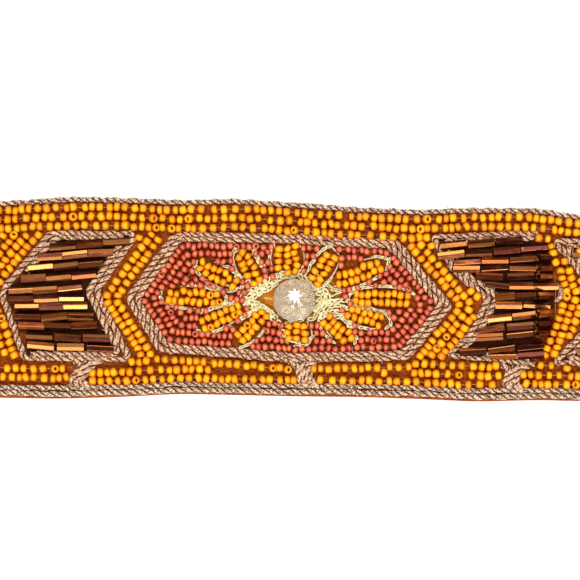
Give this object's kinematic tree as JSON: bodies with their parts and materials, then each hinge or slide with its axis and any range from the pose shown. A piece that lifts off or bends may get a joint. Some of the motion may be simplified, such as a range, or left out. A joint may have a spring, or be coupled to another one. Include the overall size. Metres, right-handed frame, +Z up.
{
  "type": "beaded belt",
  "caption": "Flat suede belt sewn over with seed and bugle beads in arrow panels, a flower and faceted stone in its middle, edged with twisted cord and closed by a hook and eye.",
  "frame": {"origin": "underside of the suede band, straight below the middle of the centre stone", "axes": "+X along the belt towards the hook, +Y across it, +Z up out of the beaded face"},
  "size_m": [0.7768, 0.0532, 0.0074],
  "materials": {
    "suede": "napped burnt-orange suede, matt",
    "cord": "two-ply twisted taupe cord, soft sheen",
    "amber_glass": "opaque amber seed beads, glossy",
    "brick_glass": "opaque brick-red seed beads, glossy",
    "bugle_glass": "dark lustred faceted bugle beads",
    "cream_thread": "pale yellow embroidery thread",
    "clear_glass": "clear cut glass, polished",
    "steel": "plain bent sheet steel, satin"
  },
  "bodies": {
    "root": {"ground_band": "suede", "top_edge_cord": "cord", "bottom_edge_cord_outer": "cord", "bottom_edge_cord_inner": "cord", "amber_seed_field": "amber_glass", "panel_cord_left_1": "cord", "bugle_field_left_1": "bugle_glass", "panel_cord_left_2": "cord", "bugle_field_left_2": "bugle_glass", "panel_cord_left_3": "cord", "bugle_field_left_3": "bugle_glass", "panel_cord_left_4": "cord", "bugle_field_left_4": "bugle_glass", "panel_cord_left_5": "cord", "bugle_field_left_5": "bugle_glass", "panel_cord_left_6": "cord", "bugle_field_left_6": "bugle_glass", "panel_cord_left_7": "cord", "bugle_field_left_7": "bugle_glass", "panel_cord_left_8": "cord", "bugle_field_left_8": "bugle_glass", "panel_cord_right_1": "cord", "bugle_field_right_1": "bugle_glass", "panel_cord_right_2": "cord", "bugle_field_right_2": "bugle_glass", "panel_cord_right_3": "cord", "bugle_field_right_3": "bugle_glass", "panel_cord_right_4": "cord", "bugle_field_right_4": "bugle_glass", "panel_cord_right_5": "cord", "bugle_field_right_5": "bugle_glass", "panel_cord_right_6": "cord", "bugle_field_right_6": "bugle_glass", "panel_cord_right_7": "cord", "bugle_field_right_7": "bugle_glass", "panel_cord_right_8": "cord", "bugle_field_right_8": "bugle_glass", "hexagon_cord": "cord", "brick_seed_field": "brick_glass", "petal_1": "amber_glass", "petal_2": "amber_glass", "petal_3": "amber_glass", "petal_4": "amber_glass", "petal_5": "amber_glass", "petal_6": "amber_glass", "petal_7": "amber_glass", "petal_8": "amber_glass", "petal_9": "amber_glass", "petal_10": "amber_glass", "petal_11": "amber_glass", "petal_12": "amber_glass", "flower_stitching": "cream_thread", "centre_stone": "clear_glass", "hook": "steel", "eye": "steel"}
  },
  "joints": []
}
